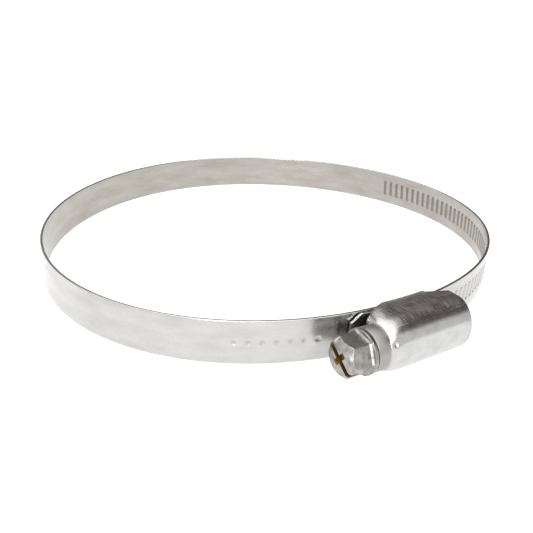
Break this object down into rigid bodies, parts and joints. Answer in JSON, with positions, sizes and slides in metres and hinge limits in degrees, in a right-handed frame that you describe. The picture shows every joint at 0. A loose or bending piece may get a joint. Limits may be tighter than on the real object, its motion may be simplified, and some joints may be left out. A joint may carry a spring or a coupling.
{
  "type": "hose clamp",
  "caption": "Worm-drive hose clamp: a round springy steel band whose grooved free end is drawn through a housing by a hexagon-head screw.",
  "frame": {"origin": "on the ring's axis, at the middle of the band's width, at the centre of the round ring shape", "axes": "+Z along the ring's axis, -Y from the axis towards the housing, the screw along X with its head towards -X"},
  "size_m": [0.11, 0.112, 0.0112],
  "materials": {
    "band_steel": "bright rolled stainless strip, satin",
    "housing_steel": "pressed stainless steel, half polished",
    "screw_steel": "zinc-plated steel, satin grey"
  },
  "bodies": {
    "housing": {"housing": "housing_steel", "band": "band_steel"},
    "worm_screw": {"worm_screw": "screw_steel"}
  },
  "joints": [
    {"name": "screw_turn", "type": "hinge", "parent": "housing", "child": "worm_screw", "pos_m": [0, -0.055, 0], "axis": [1, 0, 0], "range_deg": [0, 14328]}
  ]
}
